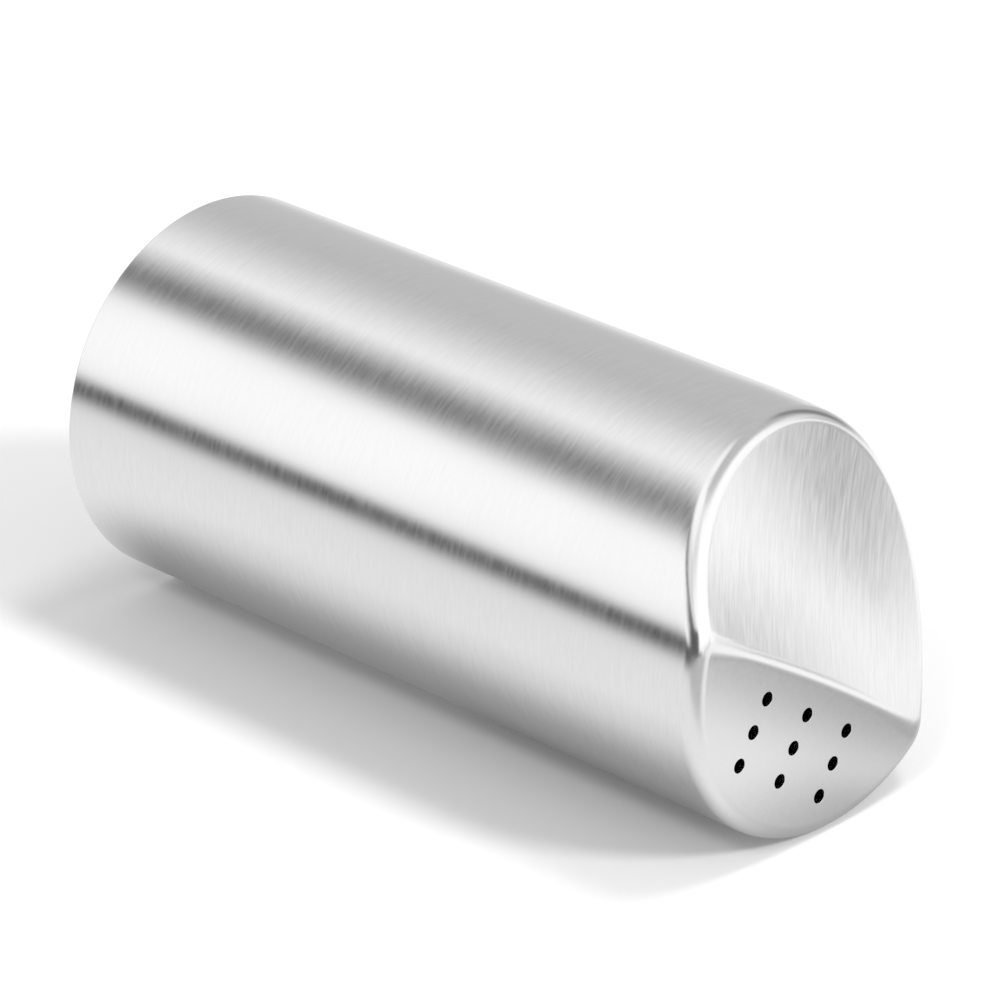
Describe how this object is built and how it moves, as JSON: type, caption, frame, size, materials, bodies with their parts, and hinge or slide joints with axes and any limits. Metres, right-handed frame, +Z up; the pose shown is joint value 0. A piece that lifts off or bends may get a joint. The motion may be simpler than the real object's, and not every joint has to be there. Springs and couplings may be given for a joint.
{
  "type": "spice shaker",
  "caption": "Brushed stainless spice shaker: round tube, thumb scoop beside a pierced sprinkle face, and a pull-out filling stopper in the base.",
  "frame": {"origin": "centre of the foot rim, in the plane the shaker stands on", "axes": "+Z up the tube's axis to the head, -Y towards the side with the pierced sprinkle face, +X along the ridge between face and scoop"},
  "size_m": [0.04, 0.04, 0.0855],
  "materials": {
    "shell_steel": "satin brushed round the tube and down the scoop",
    "plate_steel": "plain pressed sheet",
    "stopper_plastic": "fine moulded matte",
    "seal_rubber": "smooth moulded"
  },
  "bodies": {
    "shaker": {"shaker_body": "shell_steel", "base_plate": "plate_steel"},
    "stopper": {"base_stopper": "stopper_plastic", "stopper_seal": "seal_rubber"}
  },
  "joints": [
    {"name": "stopper_pull", "type": "slide", "parent": "shaker", "child": "stopper", "axis": [0, 0, -1], "range_m": [0, 0.012]}
  ]
}
